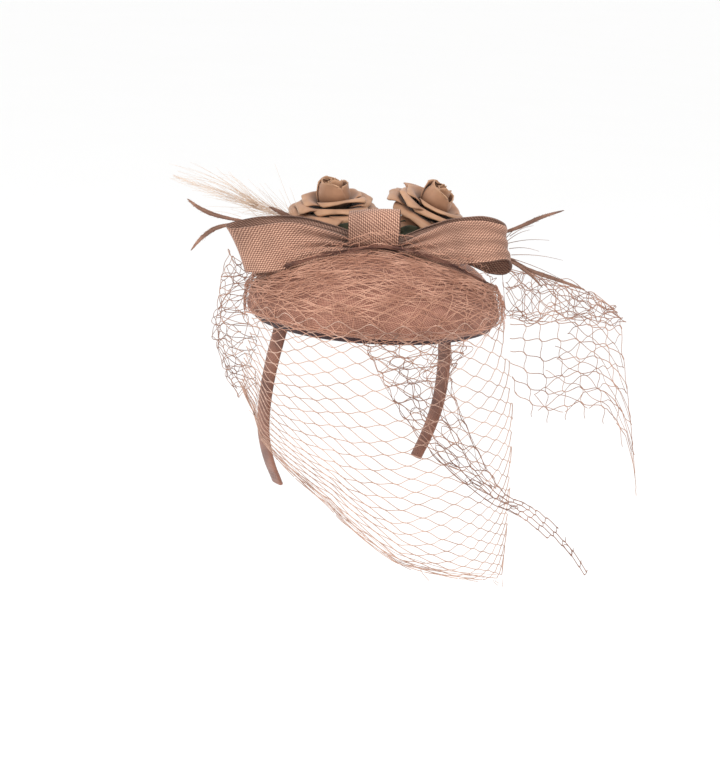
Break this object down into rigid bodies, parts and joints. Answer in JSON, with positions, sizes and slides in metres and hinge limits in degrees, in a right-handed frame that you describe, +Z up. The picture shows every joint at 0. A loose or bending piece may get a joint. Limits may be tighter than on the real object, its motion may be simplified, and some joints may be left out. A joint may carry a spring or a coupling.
{
  "type": "fascinator headpiece",
  "caption": "Small domed fascinator hat on a slim headband, with a woven ribbon bow, fabric roses, feathers and a gathered birdcage net that lifts off the face.",
  "frame": {"origin": "centre of the hat base's opening, in the plane of its lower edge, where it meets the wearer's head", "axes": "+Z up through the crown, -Y to the wearer's front, +X to the wearer's left"},
  "size_m": [0.2412, 0.231, 0.2591],
  "materials": {
    "straw_cloth": "fine open weave, matt",
    "straw_ribbon": "open woven ribbon, slight sheen",
    "lining_cloth": "smooth, matt",
    "petersham": "ribbed ribbon",
    "binding_cloth": "bias strip",
    "wire": "millinery wire",
    "band_cloth": "satin",
    "band_core": "spring strip",
    "thread": "sewing thread",
    "rose_cloth": "smooth sheet, soft sheen",
    "leaf_cloth": "matt",
    "felt": "felt",
    "feather_brown": "feather barbs",
    "feather_pale": "soft feather barbs",
    "net": "open net of fine thread"
  },
  "bodies": {
    "hat": {"base_crown_shell": "straw_cloth", "base_lining": "lining_cloth", "brim_wire": "wire", "brim_binding": "binding_cloth", "sweatband_ribbon": "petersham", "headband_arch_cover": "band_cloth", "headband_arch_core": "band_core", "headband_tacks": "thread", "bow_left_loop": "straw_ribbon", "bow_right_loop": "straw_ribbon", "bow_waist": "straw_ribbon", "bow_centre_loop": "straw_ribbon", "rose_left_bud": "rose_cloth", "rose_left_inner_petals": "rose_cloth", "rose_left_middle_petals": "rose_cloth", "rose_left_outer_petals": "rose_cloth", "rose_left_calyx": "leaf_cloth", "rose_left_stem": "leaf_cloth", "rose_right_bud": "rose_cloth", "rose_right_inner_petals": "rose_cloth", "rose_right_middle_petals": "rose_cloth", "rose_right_outer_petals": "rose_cloth", "rose_right_calyx": "leaf_cloth", "rose_right_stem": "leaf_cloth", "rose_leaves": "leaf_cloth", "trim_disc": "felt", "feather_left_upper": "feather_brown", "feather_left_lower": "feather_brown", "feather_left_short": "feather_brown", "feather_right_upper": "feather_brown", "feather_right_lower": "feather_brown", "feather_right_short": "feather_brown", "feather_left_plume": "feather_pale", "veil_crown": "net", "veil_gather": "net", "veil_wing": "net", "veil_wing_under": "net", "veil_ruffle": "net"},
    "headband_right_arm": {"headband_right_cover": "band_cloth", "headband_right_tip": "band_cloth", "headband_right_core": "band_core"},
    "headband_left_arm": {"headband_left_cover": "band_cloth", "headband_left_tip": "band_cloth", "headband_left_core": "band_core"},
    "face_net": {"veil_face": "net", "veil_fold": "net", "veil_tail": "net"}
  },
  "joints": [
    {"name": "headband_right_flex", "type": "hinge", "parent": "hat", "child": "headband_right_arm", "pos_m": [-0.0685, 0.008, -0.003], "axis": [0, 1, 0], "range_deg": [0, 6], "stiffness_Nm_per_rad": 1.2},
    {"name": "headband_left_flex", "type": "hinge", "parent": "hat", "child": "headband_left_arm", "pos_m": [0.0685, 0.008, -0.003], "axis": [0, -1, 0], "range_deg": [0, 6], "stiffness_Nm_per_rad": 1.2},
    {"name": "face_net_lift", "type": "hinge", "parent": "hat", "child": "face_net", "pos_m": [0, 0.005, -0.01], "axis": [-1, 0, 0], "range_deg": [0, 25]}
  ]
}
